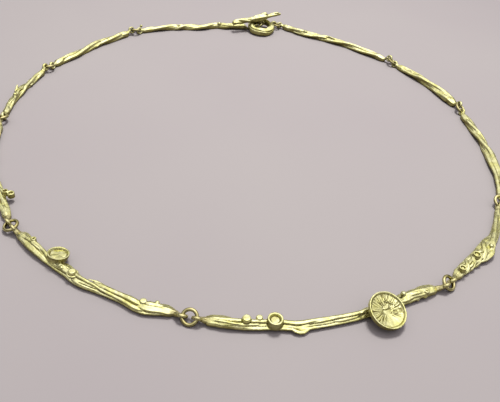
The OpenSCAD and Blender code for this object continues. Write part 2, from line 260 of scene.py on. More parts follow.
@dataclass(frozen=True)
class Joint:
    """Place where two bars meet in a jump ring.

    Attributes:
        bearing: Bearing of the ring's middle.
        offset: Distance of the middle outwards from the loop.
        lean: Degrees by which the ring's inner edge is raised.
        pitch: Degrees by which the edge towards the next bar is raised.
    """

    RING_D = 3.15
    RING_WIRE = 0.82
    EYE_D = 1.7
    EYE_WIRE = 0.6
    LIFT = 0.03
    NECK_REACH = EYE_D / 2 - 0.1

    bearing: float
    offset: float
    lean: float
    pitch: float

    def along(self) -> Vector:
        """Level direction towards the next bar."""
        b = math.radians(self.bearing)
        return Vector((-math.sin(b), math.cos(b), 0.0))

    def across(self) -> Vector:
        """Direction inwards and up the slope of the ring."""
        b, lean = math.radians(self.bearing), math.radians(self.lean)
        return Vector((-math.cos(b) * math.cos(lean), -math.sin(b) * math.cos(lean), math.sin(lean)))

    def span(self) -> Vector:
        """Direction from one eye to the other."""
        pitch = math.radians(self.pitch)
        return self.along() * math.cos(pitch) + self.along().cross(self.across()) * math.sin(pitch)

    def centre(self) -> Vector:
        """Middle of the ring, as low as it can lie.

        Returns:
            The point in millimetres.
        """
        span, across = self.span(), self.across()
        normal = span.cross(across)
        ring_low = self.RING_D / 2 * math.sqrt(1 - normal.z**2) + self.RING_WIRE / 2
        eye_low = self.RING_D / 2 * abs(span.z)
        eye_low += self.EYE_D / 2 * math.sqrt(1 - across.z**2) + self.EYE_WIRE / 2
        return polar(self.bearing, self.offset, self.LIFT + max(ring_low, eye_low))

    def end(self, side: int) -> End:
        """End of the bar on one side, which is 1 for the next bar and -1 for the one before."""
        eye = self.centre() + self.span() * (side * self.RING_D / 2)
        return End(eye, self.across(), eye + self.along() * (side * self.NECK_REACH))


def polar(bearing: float, offset: float, height: float) -> Vector:
    """Point at a bearing, a distance outwards from the loop and a height above the surface."""
    b = math.radians(bearing)
    return Vector(((LOOP_R + offset) * math.cos(b), (LOOP_R + offset) * math.sin(b), height))


def ease(t: float) -> float:
    """Smooth step from 0 to 1."""
    c = min(1.0, max(0.0, t))
    return c * c * (3 - 2 * c)


def curve(rows: Sequence[Sequence[float]], at: float, column: int) -> float:
    """Value of a table's column on a smooth curve through its rows.

    Args:
        rows: The table, whose first column rises.
        at: The place in the first column.
        column: The column to read.

    Returns:
        The value there.
    """
    last = len(rows) - 1
    k = max([0] + [i for i in range(last) if rows[i][0] <= at])

    def slope(i: int) -> float:
        """Slope of the column at a row."""
        a, b = rows[max(0, i - 1)], rows[min(last, i + 1)]
        return (b[column] - a[column]) / (b[0] - a[0])

    run = rows[k + 1][0] - rows[k][0]
    s = min(1.0, max(0.0, (at - rows[k][0]) / run))
    to = s * s * (3 - 2 * s)
    bend = s * (1 - s) * (slope(k) * (1 - s) - slope(k + 1) * s) * run / 2
    return rows[k][column] * (1 - to) + rows[k + 1][column] * to + bend


class Section(NamedTuple):
    """Section of a bar's body: where it is along the body from 0 to 1, its offset, width and height."""

    along: float
    offset: float
    width: float
    height: float


class Lay(NamedTuple):
    """Place of a strand in a section.

    along is the place along the bar's body, angle the degrees round the section from
    outwards over the top, reach the distance from its middle and girth the strand's
    size, both as parts of the section's.
    """

    along: float
    angle: float
    reach: float
    girth: float


class Ornament(NamedTuple):
    """Thing on a bar: its kind, bearing, offset, height of the middle and diameter."""

    kind: Kind
    bearing: float
    offset: float
    height: float
    size: float


@dataclass(frozen=True)
class Way:
    """Line of one bar from eye to eye.

    Attributes:
        start: Its first end.
        end: Its last end.
        sections: Sections of the body.
    """

    NECK_L = 1.1
    SOLE = 0.08
    AHEAD = 0.4

    start: End
    end: End
    sections: tuple[Section, ...]

    def run(self) -> float:
        """Distance from one neck's start to the other's."""
        return (self.end.neck - self.start.neck).length

    @staticmethod
    def _bearing(p: Vector) -> float:
        """Bearing of a point."""
        return math.degrees(math.atan2(p.y, p.x))

    def part(self, s: float) -> float:
        """Place along the body, from 0 to 1, at a distance from the start."""
        return min(1.0, max(0.0, (s - self.NECK_L) / (self.run() - 2 * self.NECK_L)))

    def distance(self, along: float) -> float:
        """Distance from the start of a place along the body."""
        return self.NECK_L + along * (self.run() - 2 * self.NECK_L)

    def middle(self, s: float) -> Vector:
        """Middle of the section at a distance from the start.

        Args:
            s: The distance in millimetres.

        Returns:
            The point in millimetres.
        """
        start, end = self.start.neck, self.end.neck
        u, t = s / self.run(), self.part(s)
        free = ease(min(s, self.run() - s) / self.NECK_L)
        r = start.to_2d().length * (1 - u) + end.to_2d().length * u
        r += curve(self.sections, t, 1) * free
        rest = curve(self.sections, t, 3) / 2 - self.SOLE
        near = start.z if u < 0.5 else end.z
        turn = (self._bearing(end) - self._bearing(start)) % 360
        return polar(self._bearing(start) + u * turn, r - LOOP_R, near * (1 - free) + rest * free)

    def size(self, s: float) -> tuple[float, float]:
        """Half width and half height of the section at a distance from the start."""
        t = self.part(s)
        return curve(self.sections, t, 2) / 2, curve(self.sections, t, 3) / 2

    def heading(self, s: float) -> Vector:
        """Level direction of the line at a distance from the start."""
        ahead = self.middle(min(self.run(), s + self.AHEAD)) - self.middle(max(0.0, s - self.AHEAD))
        return Vector((ahead.x, ahead.y, 0.0)).normalized()


class Ring(NamedTuple):
    """One ring of a sweep: its middle, level heading, half width and half height."""

    middle: Vector
    heading: Vector
    half_w: float
    half_h: float


def sweep(rings: Sequence[Ring], sides: int = 6) -> Piece:
    """Strand that is extruded from ring to ring.

    Args:
        rings: The rings in order.
        sides: The number of its sides.

    Returns:
        A closed mesh object.
    """
    deselect_all()
    first = rings[0]
    turn = math.atan2(first.heading.y, first.heading.x)
    bpy.ops.mesh.primitive_circle_add(
        vertices=sides,
        radius=first.half_w * MM,
        fill_type="NGON",
        location=first.middle * MM,
        rotation=(math.pi / 2, 0, turn - math.pi / 2),
    )
    bpy.ops.object.mode_set(mode="EDIT")
    flatness = first.half_h / first.half_w
    bpy.ops.transform.resize(value=(1, 1, flatness), center_override=first.middle * MM)
    before = first
    for ring in rings[1:]:
        bpy.ops.mesh.extrude_region_move(
            TRANSFORM_OT_translate={"value": (ring.middle - before.middle) * MM}
        )
        wide, high = ring.half_w / before.half_w, ring.half_h / before.half_h
        bpy.ops.transform.resize(value=(wide, wide, high), center_override=ring.middle * MM)
        bend = before.heading.to_2d().angle_signed(ring.heading.to_2d())
        bpy.ops.transform.rotate(value=bend, orient_axis="Z", center_override=ring.middle * MM)
        before = ring
    bpy.ops.mesh.select_all(action="SELECT")
    bpy.ops.mesh.normals_make_consistent(inside=False)
    bpy.ops.object.mode_set(mode="OBJECT")
    return bpy.context.object


# Finishes


class Graph:
    """Nodes of one material or world, linked in short calls."""

    def __init__(self, owner: bpy.types.Material | bpy.types.World) -> None:
        """Starts without nodes.

        Args:
            owner: The material or world.
        """
        self.owner = owner
        owner.use_nodes = True
        self.tree = owner.node_tree
        self.tree.nodes.clear()

    def node(self, kind: str, inputs: dict[str | int, object] | None = None, **settings: object) -> bpy.types.Node:
        """Adds a node.

        Args:
            kind: The node's type, without the ShaderNode before it.
            inputs: Values or output sockets for its inputs, by name or number.
            settings: Values for its properties.

        Returns:
            The node.
        """
        node = self.tree.nodes.new("ShaderNode" + kind)
        for key, value in settings.items():
            setattr(node, key, value)
        for key, value in (inputs or {}).items():
            if isinstance(value, Socket):
                self.tree.links.new(value, node.inputs[key])
            else:
                node.inputs[key].default_value = value
        return node

    def maths(self, operation: str, *values: float | Socket) -> Socket:
        """Result of a sum with numbers, by Blender's name of the operation."""
        return self.node("Math", dict(enumerate(values)), operation=operation).outputs[0]

    def noise(self, place: Socket, scale: float, detail: float) -> Socket:
        """Noise from 0 to 1, with so many lumps in a metre."""
        return self.node("TexNoise", {"Vector": place, "Scale": scale, "Detail": detail}).outputs["Fac"]

    def mix(self, factor: Socket, under: Socket, over: Colour) -> Socket:
        """Colour that turns from a socket's to a given one as the factor rises to 1."""
        return self.node("Mix", {0: factor, 6: under, 7: (*over, 1.0)}, data_type="RGBA").outputs[2]

    def rescale(
        self, value: Socket, low: float, high: float, first: float = 0.0, final: float = 1.0, **settings: object
    ) -> Socket:
        """Maps a value's range from low to high to one from first to final, and holds it at its ends."""
        inputs = {"Value": value, "From Min": low, "From Max": high, "To Min": first, "To Max": final}
        return self.node("MapRange", inputs, **settings).outputs[0]

    def ramp(self, factor: Socket, stops: Sequence[tuple[float, Colour]]) -> Socket:
        """Colour ramp.

        Args:
            factor: The socket that drives it.
            stops: Places and colours, from low to high.

        Returns:
            The ramp's colour socket.
        """
        node = self.node("ValToRGB", {"Fac": factor})
        elements = node.color_ramp.elements
        for place, _ in stops[1:-1]:
            elements.new(place)
        for element, (place, colour) in zip(elements, stops):
            element.position = place
            element.color = (*colour, 1.0)
        return node.outputs["Color"]


@dataclass(frozen=True)
class GoldFinish:
    """Gold with a skin that is cast or drawn.

    Attributes:
        name: The material's name.
        pale: Paler colour of the random patches.
        deep: Deeper colour of the random patches.
        shade_and_line_colour: Colour of the painted shade in creases and on faces that turn sideways and down, and of
            the medallion's gill lines.
        roughness: Roughness of the skin.
        grain: Size of the bumps in millimetres.
        relief: Height of the bumps in millimetres.
    """

    SOLDER = (0.64, 0.59, 0.27)
    SOLDER_MARK = "solder"
    PATCHES = 450.0
    DEEP_AT, PALE_AT = 0.35, 0.6
    # Where the painted shade is whole and where it ends, and how strong it is at both: in creases, by the mesh's
    # pointiness, and on faces that turn sideways and down
    CREASE_SHADE = (0.473, 0.4985, 1.0, 0.0)
    DOWNWARD_SHADE = (-0.15, 0.55, 0.92, 0.0)
    SHADE_AND_LINES_ROUGHER = 0.35
    GRAIN_ROUGHER = (-0.08, 0.12)
    LINE_DEPTH = 0.05
    LINES_AROUND = 9.0
    LINES_OUT = 350.0
    STREAKS = (0.5, 0.62)
    WEDGE_TURN = math.radians(-10)

    name: str
    pale: Colour
    deep: Colour
    shade_and_line_colour: Colour
    roughness: float
    grain: float
    relief: float

    def material(self) -> bpy.types.Material:
        """Builds the material.

        Returns:
            The material.
        """
        graph = Graph(bpy.data.materials.new(self.name))
        place = graph.node("TexCoord").outputs["Object"]
        patches = graph.noise(place, self.PATCHES, 3.0)
        tone = graph.ramp(patches, [(self.DEEP_AT, self.deep), (self.PALE_AT, self.pale)])
        solder = graph.node("Attribute", attribute_name=self.SOLDER_MARK).outputs["Fac"]
        skin = graph.node("NewGeometry").outputs
        upright = graph.node("SeparateXYZ", {"Vector": skin["Normal"]}).outputs["Z"]
        # Painted shade: darker in creases, by the mesh's pointiness
        crease_shade = graph.rescale(skin["Pointiness"], *self.CREASE_SHADE)
        # Painted shade on faces that turn sideways and down, where the bars meet their own shadow
        downward_shade = graph.rescale(upright, *self.DOWNWARD_SHADE, interpolation_type="SMOOTHSTEP")
        lines = self._gill_lines(graph, place)
        shade_and_lines = graph.maths("MAXIMUM", graph.maths("MAXIMUM", crease_shade, downward_shade), lines)
        fine = graph.noise(place, 1000 / self.grain, 4.0)
        gloss = graph.rescale(fine, 0.0, 1.0, *(self.roughness + change for change in self.GRAIN_ROUGHER))
        lined = graph.node("Bump", {"Height": lines, "Distance": self.LINE_DEPTH * MM, "Strength": 1.0}, invert=True)
        relief = {"Height": fine, "Distance": self.relief * MM, "Strength": 1.0, "Normal": lined.outputs[0]}
        metal = graph.node(
            "BsdfPrincipled",
            {
                # The random patches and solder turn to the dark colour where shade is painted and where the gill lines
                # run, and grow rougher there
                "Base Color": graph.mix(shade_and_lines, graph.mix(solder, tone, self.SOLDER), self.shade_and_line_colour),
                "Metallic": 1.0,
                "Roughness": graph.maths("MULTIPLY_ADD", shade_and_lines, self.SHADE_AND_LINES_ROUGHER, gloss),
                "Normal": graph.node("Bump", relief).outputs[0],
            },
        )
        graph.node("OutputMaterial", {"Surface": metal.outputs[0]})
        return graph.owner

    def _gill_lines(self, graph: Graph, place: Socket) -> Socket:
        """Fine dark lines that run out from the medallion's middle, with a smooth wedge left free.

        Args:
            graph: The material's nodes.
            place: The socket of the place on the object.

        Returns:
            The socket of the lines' strength, which is 0 away from the medallion's floor.
        """
        r = DISH.size / 2
        level = DISH_LEAN.transposed()
        shift = level @ (polar(DISH.bearing, DISH.offset, DISH.height) * -MM)
        local = graph.node("Mapping", {"Vector": place, "Location": shift, "Rotation": angles(level)})
        part = graph.node("SeparateXYZ", {"Vector": local.outputs[0]})
        x, y, z = (part.outputs[axis] for axis in "XYZ")
        flat = graph.node("CombineXYZ", {"X": x, "Y": y}).outputs[0]
        reach = graph.node("VectorMath", {0: flat}, operation="LENGTH").outputs["Value"]
        towards = graph.node("VectorMath", {0: flat}, operation="NORMALIZE").outputs[0]
        wedge = (math.cos(self.WEDGE_TURN), math.sin(self.WEDGE_TURN), 0.0)
        along = graph.node("VectorMath", {0: towards, 1: wedge}, operation="DOT_PRODUCT").outputs["Value"]
        turn = graph.maths("MULTIPLY", graph.maths("ARCTAN2", y, x), self.LINES_AROUND)
        out = graph.maths("MULTIPLY", reach, self.LINES_OUT)
        streaks = graph.noise(graph.node("CombineXYZ", {"X": turn, "Y": out}).outputs[0], 1.0, 1.0)
        strength = graph.rescale(streaks, *self.STREAKS)
        masks = (
            (reach, 0.1 * r * MM, 0.32 * r * MM),  # none on the boss
            (reach, (r - 0.75) * MM, (r - 0.55) * MM, 1.0, 0.0),  # none on the rim
            (along, 0.68, 0.86, 1.0, 0.15),  # faint in the wedge
            (z, -1.1 * MM, -0.9 * MM),  # none below the floor
            (z, 0.5 * MM, 0.7 * MM, 1.0, 0.0),  # none above it
        )
        for mask in masks:
            strength = graph.maths("MULTIPLY", strength, graph.rescale(*mask))
        return strength


DISH = Ornament(Kind.MEDALLION, 296.4, 2.7, 3.0, 8.6)
DISH_LEAN = leaning(DISH.bearing + 20, 19)
CAST_GOLD = GoldFinish("cast gold", (0.95, 0.96, 0.48), (0.85, 0.85, 0.31), (0.2, 0.165, 0.05), 0.25, 0.25, 0.006)
# The wire's colours are darker than the cast gold's: painted shade for the dark room that its polished wire mirrors
WIRE_GOLD = GoldFinish("wire gold", (0.76, 0.71, 0.33), (0.4, 0.36, 0.13), (0.11, 0.09, 0.035), 0.12, 0.6, 0.008)


# Cast parts


class Skin(NamedTuple):
    """Skin of a bar: its faces' size, how much fuller it is drawn, and how brown its solder is."""

    voxel: float = 0.125
    full: float = 1.12
    solder: float = 0.1


@dataclass
class TwigBar:
    """Cast bar with the look of a twig, with its necks, eyes and ornaments.

    Attributes:
        name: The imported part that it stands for.
        way: The bar's line.
        strands: The strands that are fused into it.
        ornaments: What sits on it.
        skin: How its skin is made.
        neck: Half width of its first neck.
    """

    STEP = 0.8
    FEWEST_STEPS = 5
    BLUNT = 0.85
    NECK_HALF = 0.6
    NECK_OVER_EYE = 0.25
    NECK = ((-0.3, 0.95), (0.35, 1.1), (0.8, 1.3), (1.7, 1.45))
    STUB = ((0.0, 0.94), (0.02, 0.98), (0.05, 0.92), (0.1, 0.7))

    name: str
    way: Way
    strands: Sequence[Sequence[Lay]]
    ornaments: Sequence[Ornament]
    skin: Skin
    neck: float = NECK_HALF

    def build(self) -> Piece:
        """Models the bar.

        Returns:
            The bar's object.
        """
        parts = [self._strand(lays) for lays in (*self.strands, *self._stubs())]
        parts += [self._neck(True), self._neck(False)]
        ends = (self.way.start, self.way.end)
        parts += [wire_eye(end.eye, end.axis) for end in ends]
        for ornament in self.ornaments:
            parts += OrnamentMaker(ornament).build()
        piece = merge(self.name + "_cast", parts)
        fuse(piece, self.skin.voxel)
        mark_solder(piece, [end.eye for end in ends], self.skin.solder)
        return piece

    def _stubs(self) -> list[tuple[Lay, ...]]:
        """Blunt ends of the body, where it has its full width.

        Returns:
            Their places.
        """
        first = tuple(Lay(along, 0, 0, girth) for along, girth in self.STUB)
        final = tuple(Lay(1 - along, 0, 0, girth) for along, girth in reversed(self.STUB))
        return [final] if self.neck < self.NECK_HALF else [first, final]

    def _strand(self, lays: Sequence[Lay]) -> Piece:
        """Strand along a part of the body.

        Args:
            lays: The strand's places.

        Returns:
            The strand.
        """
        start, end = (self.way.distance(min(1.0, max(0.0, row.along))) for row in (lays[0], lays[-1]))
        steps = max(self.FEWEST_STEPS, round((end - start) / self.STEP))
        rings = []
        for k in range(steps + 1):
            s = start + (end - start) * k / steps
            at = lays[0].along + (lays[-1].along - lays[0].along) * k / steps
            angle, reach, girth = (curve(lays, at, column) for column in (1, 2, 3))
            heading = self.way.heading(s)
            outwards = Vector((heading.y, -heading.x, 0.0))
            half_w, half_h = (half * self.skin.full for half in self.way.size(s))
            a = math.radians(angle)
            middle = self.way.middle(s) + outwards * (reach * half_w * math.cos(a))
            middle += UP * (reach * half_h * math.sin(a))
            tip = self.BLUNT if k in (0, steps) else 1.0
            rings.append(Ring(middle, heading, girth * half_w * tip, girth * half_h * tip))
        return sweep(rings)

    def _neck(self, first: bool) -> Piece:
        """Neck between an eye and the body.

        Args:
            first: Whether it is the neck at the start.

        Returns:
            The neck.
        """
        run = self.way.run()
        eye = (self.way.start if first else self.way.end).eye
        half = self.neck if first else self.NECK_HALF
        rings = []
        for step, part in self.NECK:
            s = step if first else run - step
            inside = min(run, max(0.0, s))
            middle = self.way.middle(inside)
            if inside != s:
                middle = middle + (eye - middle).normalized() * self.NECK_OVER_EYE
            heading = self.way.heading(inside) * (1 if first else -1)
            rings.append(Ring(middle, heading, half * part, half * part))
        return sweep(rings)


# Radii, sides and stretch of an eye, which is drawn a little fuller than its wire
EYE_RADII = (0.9, 0.36)
EYE_SIDES = (28, 12)
EYE_STRETCH = (1.0, 1.0, 1.2)

# Name, size and height of each layer of the cast skin's bumps
BARK = (("lumps", 2.2, 0.22), ("bark", 0.6, 0.04))

# Distances from an eye at which the solder is whole and at which it ends
SOLDER_WHOLE = 1.9
SOLDER_NONE = 3.3


def wire_eye(middle: Vector, axis: Vector) -> Piece:
    """Eye that is soldered to a cast part.

    Args:
        middle: The eye's middle.
        axis: The axis of its hole.

    Returns:
        The eye.
    """
    piece = torus(EYE_RADII, EYE_SIDES, middle, facing(axis))
    piece.scale = EYE_STRETCH
    return piece


def fuse(piece: Piece, voxel: float) -> None:
    """Fuses a piece's loose shells into one cast skin with a bark.

    Args:
        piece: The object to change.
        voxel: The size of the remeshed faces in millimetres.
    """
    apply_modifier(piece, "REMESH", mode="VOXEL", voxel_size=voxel * MM)
    apply_modifier(piece, "SMOOTH", factor=0.5, iterations=3)
    for name, size, height in BARK:
        apply_modifier(
            piece, "DISPLACE", texture=clouds(name, size), strength=height * MM, mid_level=0.5, texture_coords="LOCAL"
        )
    pick(piece)
    bpy.ops.object.shade_smooth()


def clouds(name: str, size: float) -> bpy.types.Texture:
    """Procedural lumps for a displacement.

    Args:
        name: The texture's name.
        size: The size of its lumps in millimetres.

    Returns:
        The texture.
    """
    texture = bpy.data.textures.get(name) or bpy.data.textures.new(name, "CLOUDS")
    texture.noise_scale = size * MM
    return texture


def mark_solder(piece: Piece, eyes: Sequence[Vector], most: float) -> None:
    """Marks how near each point of a piece is to an eye, for the browner solder there.

    Args:
        piece: The object to mark.
        eyes: The middles of its eyes.
        most: The mark at the eyes.
    """
    points = np.empty((len(piece.data.vertices), 3), dtype=np.float32)
    piece.data.vertices.foreach_get("co", points.ravel())
    nearest = np.min([np.linalg.norm(points / MM - np.array(eye), axis=1) for eye in eyes], axis=0)
    strength = most * np.clip((SOLDER_NONE - nearest) / (SOLDER_NONE - SOLDER_WHOLE), 0, 1)
    mark = piece.data.attributes.new(GoldFinish.SOLDER_MARK, "FLOAT", "POINT")
    mark.data.foreach_set("value", strength.astype(np.float32))


@dataclass(frozen=True)
class OrnamentMaker:
    """Models one ornament.

    Attributes:
        row: The ornament's place and size.
    """

    FLAT_FROM = 1.4
    COLLAR_WIRE_R = 0.2
    RIM = 0.3
    CUP_LEAN = -13
    CUP_HEIGHT = 1.6
    CUP_STEPS = ((0.5, 0.86),)
    RUFFLES = 5
    RUFFLE_R = 1.15
    RUFFLE_SQUASH = Matrix.Diagonal((1.1, 0.7, 0.09))
    PEG_HEIGHT = 1.6
    DISH_SIDES = 26
    DISH_STEPS = ((0.4, 0.95), (0.45, 0.42), (0.1, 0.5))
    GILLS = 44
    GILL_RADII = (0.07, 0.13)
    GILL_SLOPE = 0.11
    # Turn, distance from the middle as a part of the radius, and radius of each curl
    PITS = ((140, 0.62, 0.5), (112, 0.64, 0.56), (84, 0.62, 0.5), (60, 0.7, 0.36))
    PIT_WIRE_R = 0.15
    SPUR_L = 2.6
    SPUR_FALL = math.radians(60)

    row: Ornament

    def build(self) -> list[Piece]:
        """Models the ornament.

        Returns:
            Its loose shells.
        """
        makers = {
            Kind.BALL: self._ball,
            Kind.COLLAR: self._collar,
            Kind.BEZEL: self._bezel,
            Kind.CUP: self._cup,
            Kind.MEDALLION: self._medallion,
            Kind.SPUR: self._spur,
        }
        return makers[self.row.kind]()

    def _middle(self) -> Vector:
        """Middle of the ornament."""
        return polar(self.row.bearing, self.row.offset, self.row.height)

    def _ball(self) -> list[Piece]:
        """Bead, whose top is flat where it is large.

        Returns:
            The bead.
        """
        deselect_all()
        size, middle = self.row.size, self._middle()
        bpy.ops.mesh.primitive_uv_sphere_add(segments=24, ring_count=14, radius=size / 2 * MM, location=middle * MM)
        piece = bpy.context.object
        if size > self.FLAT_FROM:
            bpy.ops.object.mode_set(mode="EDIT")
            top = (middle + UP * size * 0.3) * MM
            bpy.ops.mesh.bisect(plane_co=top, plane_no=UP, use_fill=True, clear_outer=True)
            bpy.ops.object.mode_set(mode="OBJECT")
        return [piece]

    def _collar(self) -> list[Piece]:
        """Wire collar round a bead."""
        return [torus((self.row.size / 2, self.COLLAR_WIRE_R), (24, 8), self._middle())]

    def _bezel(self) -> list[Piece]:
        """Short open tube with a floor.

        Returns:
            The tube.
        """
        size = self.row.size
        piece = cone((size / 2, size / 2), 0.9 + size / 3, 32, self._middle())
        hollow(piece, 0.16 + size * 0.08, [(0.15 + size * 0.14, 0.85)])
        return [piece]

    def _peg(self, radius: float, shift: float) -> Piece:
        """Round foot under an ornament.

        Args:
            radius: The foot's radius.
            shift: How far it stands outwards from the ornament's middle.

        Returns:
            The foot.
        """
        middle = self._middle()
        level = Vector((middle.x, middle.y, 0)).normalized()
        return cone((radius, radius), self.PEG_HEIGHT, 20, middle - UP * (self.PEG_HEIGHT / 2) + level * shift)

    def _cup(self) -> list[Piece]:
        """Shallow dish with a ruffled floor.

        Returns:
            The dish, its foot and its ruffles.
        """
        r, middle = self.row.size / 2, self._middle()
        tilt = leaning(self.row.bearing, self.CUP_LEAN)
        piece = cone((r * 0.86, r), self.CUP_HEIGHT, 32, middle, angles(tilt))
        hollow(piece, self.RIM, self.CUP_STEPS, tilt)
        deselect_all()
        bpy.ops.mesh.primitive_uv_sphere_add(segments=16, ring_count=10, radius=self.RUFFLE_R * MM)
        ruffle = bpy.context.object
        ruffles = []
        for k in range(self.RUFFLES):
            spin = tilt @ Matrix.Rotation(2.4 * k, 3, "Z")
            place = middle + spin @ Vector((r * (0.3 + 0.04 * k), 0, 0.31))
            ruffles.append(twin(ruffle, place, spin @ self.RUFFLE_SQUASH))
        bpy.data.objects.remove(ruffle)
        return [piece, self._peg(r * 0.45, 0.5), *ruffles]

    def _medallion(self) -> list[Piece]:
        """Dish with a raised rim and fine gills that run out from its middle.

        Returns:
            Its loose shells.
        """
        r, middle = self.row.size / 2, self._middle()
        shells = []
        for low_r, high_r, depth, rise in ((r * 0.5, r - 0.1, 0.6, -0.95), (r - 0.06, r, 1.1, -0.1)):
            place = middle + DISH_LEAN @ Vector((0, 0, rise))
            shells.append(cone((low_r, high_r), depth, self.DISH_SIDES, place, angles(DISH_LEAN)))
        hollow(shells[1], self.RIM, self.DISH_STEPS, DISH_LEAN)
        return [*shells, self._peg(1.1, -1.6), *self._gills(), *self._pits()]

    def _gills(self) -> list[Piece]:
        """Thin gills on the medallion's floor.

        Returns:
            The gills.
        """
        r = self.row.size / 2
        gill = cone(self.GILL_RADII, 1.0, 8, Vector((0.5, 0, 0)), (0, math.pi / 2, 0))
        bpy.ops.object.transform_apply(location=True, rotation=True, scale=True)
        dice = random.Random(6)
        gills = []
        for k in range(self.GILLS):
            turn = 360 * k / self.GILLS + dice.uniform(-3, 3)
            smooth, pitted = turn < 20 or turn > 310, 70 < turn < 150
            start = r * dice.uniform(0.2, 0.34)
            length = (r - 0.5 - start) * (0.3 if pitted else dice.uniform(0.75, 1.0))
            rise = -0.66 if smooth else -0.5
            spin = DISH_LEAN @ Matrix.Rotation(math.radians(turn), 3, "Z")
            place = self._middle() + spin @ Vector((start, 0, rise + start * self.GILL_SLOPE))
            spin = spin @ Matrix.Rotation(-self.GILL_SLOPE, 3, "Y")
            gills.append(twin(gill, place, spin @ Matrix.Diagonal((length, 1.0, dice.uniform(0.8, 1.2)))))
        bpy.data.objects.remove(gill)
        return gills

    def _pits(self) -> list[Piece]:
        """Small curls on the medallion's floor.

        Returns:
            The curls.
        """
        curls = []
        for turn, out, size in self.PITS:
            spin = DISH_LEAN @ Matrix.Rotation(math.radians(turn), 3, "Z")
            place = self._middle() + spin @ Vector((self.row.size / 2 * out, 0, -0.2))
            curls.append(torus((size, self.PIT_WIRE_R), (20, 8), place, angles(DISH_LEAN)))
        return curls

    def _spur(self) -> list[Piece]:
        """Short side twig that points up and back along the bar.

        Returns:
            The twig.
        """
        size, turn, fall = self.row.size, math.radians(self.row.bearing - 85), self.SPUR_FALL
        way = Vector((math.cos(turn) * math.sin(fall), math.sin(turn) * math.sin(fall), math.cos(fall)))
        return [cone((size * 0.55, size * 0.3), self.SPUR_L, 12, self._middle() + way * 0.6, facing(way))]


@dataclass(frozen=True)
class WireRing:
    """Ring of drawn wire.

    Attributes:
        name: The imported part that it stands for.
        middle: Its middle.
        axis: The axis of its hole.
        mean_d: Its mean diameter.
        wire: The thickness of its wire.
    """

    name: str
    middle: Vector
    axis: Vector
    mean_d: float
    wire: float

    def build(self) -> Piece:
        """Models the ring.

        Returns:
            The ring's object.
        """
        ring = torus((self.mean_d / 2, self.wire / 2), (56, 18), self.middle, facing(self.axis))
        piece = merge(self.name + "_wire", [ring])
        bpy.ops.object.shade_smooth()
        return piece


class Hoop(NamedTuple):
    """Strand of the toggle ring.

    radius and rise are its line's, half is its half thickness, start the angle in radians
    where it starts, share the share of the ring that it goes round, and wobble how far its
    line and its thickness stray.
    """

    radius: float
    rise: float
    half: float
    start: float
    share: float
    wobble: float


